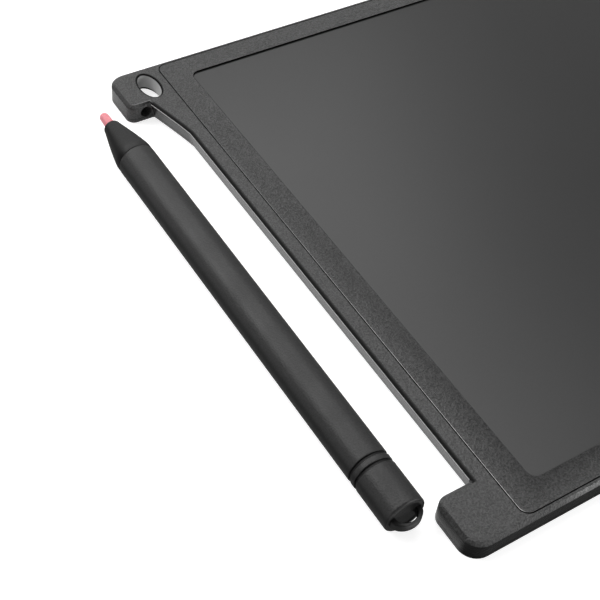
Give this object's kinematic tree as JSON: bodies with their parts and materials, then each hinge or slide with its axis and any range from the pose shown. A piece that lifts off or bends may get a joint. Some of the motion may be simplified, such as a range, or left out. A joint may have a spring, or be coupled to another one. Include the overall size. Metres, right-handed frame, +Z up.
{
  "type": "lcd_writing_tablet",
  "caption": "Thin black LCD writing tablet with a framed dark screen, a side slot between two lugs for its stylus, and the pink-nibbed stylus lying beside the slot",
  "frame": {"origin": "centre of the tablet's flat base, on the surface it lies on", "axes": "+X along the tablet, away from the stylus slot; +Y across the tablet, towards the lug with the lanyard hole; +Z up out of the screen"},
  "size_m": [0.2357, 0.146, 0.0088],
  "materials": {
    "housing_plastic": "fine spark-eroded texture",
    "bezel_sheet": "sandy matt printed sheet",
    "screen_film": "satin hard-coated film",
    "black_film": "smooth",
    "tape": "foam tape",
    "support_board": "pressed board",
    "circuit_laminate": "solder mask",
    "component_black": "moulded",
    "ceramic": "fired ceramic",
    "polyimide": "film",
    "connector_nylon": "moulded",
    "steel": "plated",
    "nickel": "nickel plated",
    "stylus_plastic": "satin",
    "nib_plastic": "satin, slightly translucent"
  },
  "bodies": {
    "tablet": {"front_cover": "housing_plastic", "back_cover": "housing_plastic", "bezel_panel": "bezel_sheet", "bezel_tape": "tape", "lcd_front_film": "screen_film", "lcd_crystal_layer": "screen_film", "lcd_back_film": "black_film", "lcd_mounting_tape": "tape", "support_board": "support_board", "lcd_ribbon_tail": "polyimide", "circuit_board": "circuit_laminate", "tact_switch_body": "steel", "tail_connector": "connector_nylon", "lock_switch_body": "steel", "driver_chip": "component_black", "boost_inductor": "component_black", "boost_capacitor": "ceramic", "bias_resistor": "component_black", "board_screw_1": "steel", "board_screw_2": "steel", "coin_cell_can": "nickel", "coin_cell_cap": "nickel", "battery_top_contact": "nickel", "battery_side_contact": "nickel"},
    "button": {"erase_button": "housing_plastic"},
    "switch_plunger": {"tact_switch_plunger": "component_black"},
    "lock": {"lock_slider": "housing_plastic", "lock_switch_lever": "component_black"},
    "door": {"battery_door": "housing_plastic", "battery_door_screw": "steel"},
    "stylus": {"stylus_nib": "nib_plastic", "stylus_nose_cone": "stylus_plastic", "stylus_barrel": "stylus_plastic", "stylus_ring": "stylus_plastic", "stylus_end_cap": "stylus_plastic"}
  },
  "joints": [
    {"name": "erase_press", "type": "slide", "parent": "tablet", "child": "button", "axis": [0, 0, -1], "range_m": [0, 0.00025], "stiffness_N_per_m": 2000},
    {"name": "switch_click", "type": "slide", "parent": "tablet", "child": "switch_plunger", "axis": [0, 0, -1], "range_m": [0, 0.00025]},
    {"name": "lock_slide", "type": "slide", "parent": "tablet", "child": "lock", "axis": [1, 0, 0], "range_m": [0, 0.003]},
    {"name": "door_off", "type": "slide", "parent": "tablet", "child": "door", "axis": [0, 0, -1], "range_m": [0, 0.01]},
    {"name": "stylus_lift", "type": "slide", "parent": "tablet", "child": "stylus", "axis": [0, 0, 1], "range_m": [0, 0.03]}
  ],
  "couplings": [
    {"joint": "switch_click", "follows": "erase_press", "ratio": 1}
  ]
}
